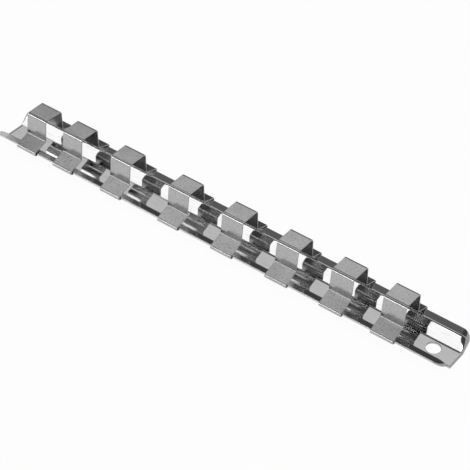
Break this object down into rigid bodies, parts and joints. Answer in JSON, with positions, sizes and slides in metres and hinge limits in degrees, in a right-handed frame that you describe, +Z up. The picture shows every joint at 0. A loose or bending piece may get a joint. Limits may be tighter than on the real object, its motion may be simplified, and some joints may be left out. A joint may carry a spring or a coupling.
{
  "type": "socket rail",
  "caption": "Chromed steel channel rail with sliding spring clips, each bent into a square post that holds a socket by its drive.",
  "frame": {"origin": "on the surface that the rail rests on, under the middle of the rail's floor", "axes": "+X along the rail towards the end with the wider bare stretch, +Y across the rail, +Z up, the way the posts stand"},
  "size_m": [0.262, 0.0294, 0.0222],
  "materials": {
    "rail_chrome": "bright chrome plating on pressed steel sheet",
    "clip_nickel": "satin bright nickel plating on spring steel strip, with bright sheared edges"
  },
  "bodies": {
    "rail": {"rail": "rail_chrome"},
    "clip_1": {"clip_1": "clip_nickel"},
    "clip_2": {"clip_2": "clip_nickel"},
    "clip_3": {"clip_3": "clip_nickel"},
    "clip_4": {"clip_4": "clip_nickel"},
    "clip_5": {"clip_5": "clip_nickel"},
    "clip_6": {"clip_6": "clip_nickel"},
    "clip_7": {"clip_7": "clip_nickel"},
    "clip_8": {"clip_8": "clip_nickel"}
  },
  "joints": [
    {"name": "clip_1_slide", "type": "slide", "parent": "rail", "child": "clip_1", "axis": [1, 0, 0], "range_m": [-0.0072, 0.0108]},
    {"name": "clip_2_slide", "type": "slide", "parent": "rail", "child": "clip_2", "axis": [1, 0, 0], "range_m": [-0.0108, 0.0177]},
    {"name": "clip_3_slide", "type": "slide", "parent": "rail", "child": "clip_3", "axis": [1, 0, 0], "range_m": [-0.0177, 0.0228]},
    {"name": "clip_4_slide", "type": "slide", "parent": "rail", "child": "clip_4", "axis": [1, 0, 0], "range_m": [-0.0228, 0.019]},
    {"name": "clip_5_slide", "type": "slide", "parent": "rail", "child": "clip_5", "axis": [1, 0, 0], "range_m": [-0.019, 0.0186]},
    {"name": "clip_6_slide", "type": "slide", "parent": "rail", "child": "clip_6", "axis": [1, 0, 0], "range_m": [-0.0186, 0.0175]},
    {"name": "clip_7_slide", "type": "slide", "parent": "rail", "child": "clip_7", "axis": [1, 0, 0], "range_m": [-0.0175, 0.0151]},
    {"name": "clip_8_slide", "type": "slide", "parent": "rail", "child": "clip_8", "axis": [1, 0, 0], "range_m": [-0.0151, 0.0164]}
  ]
}
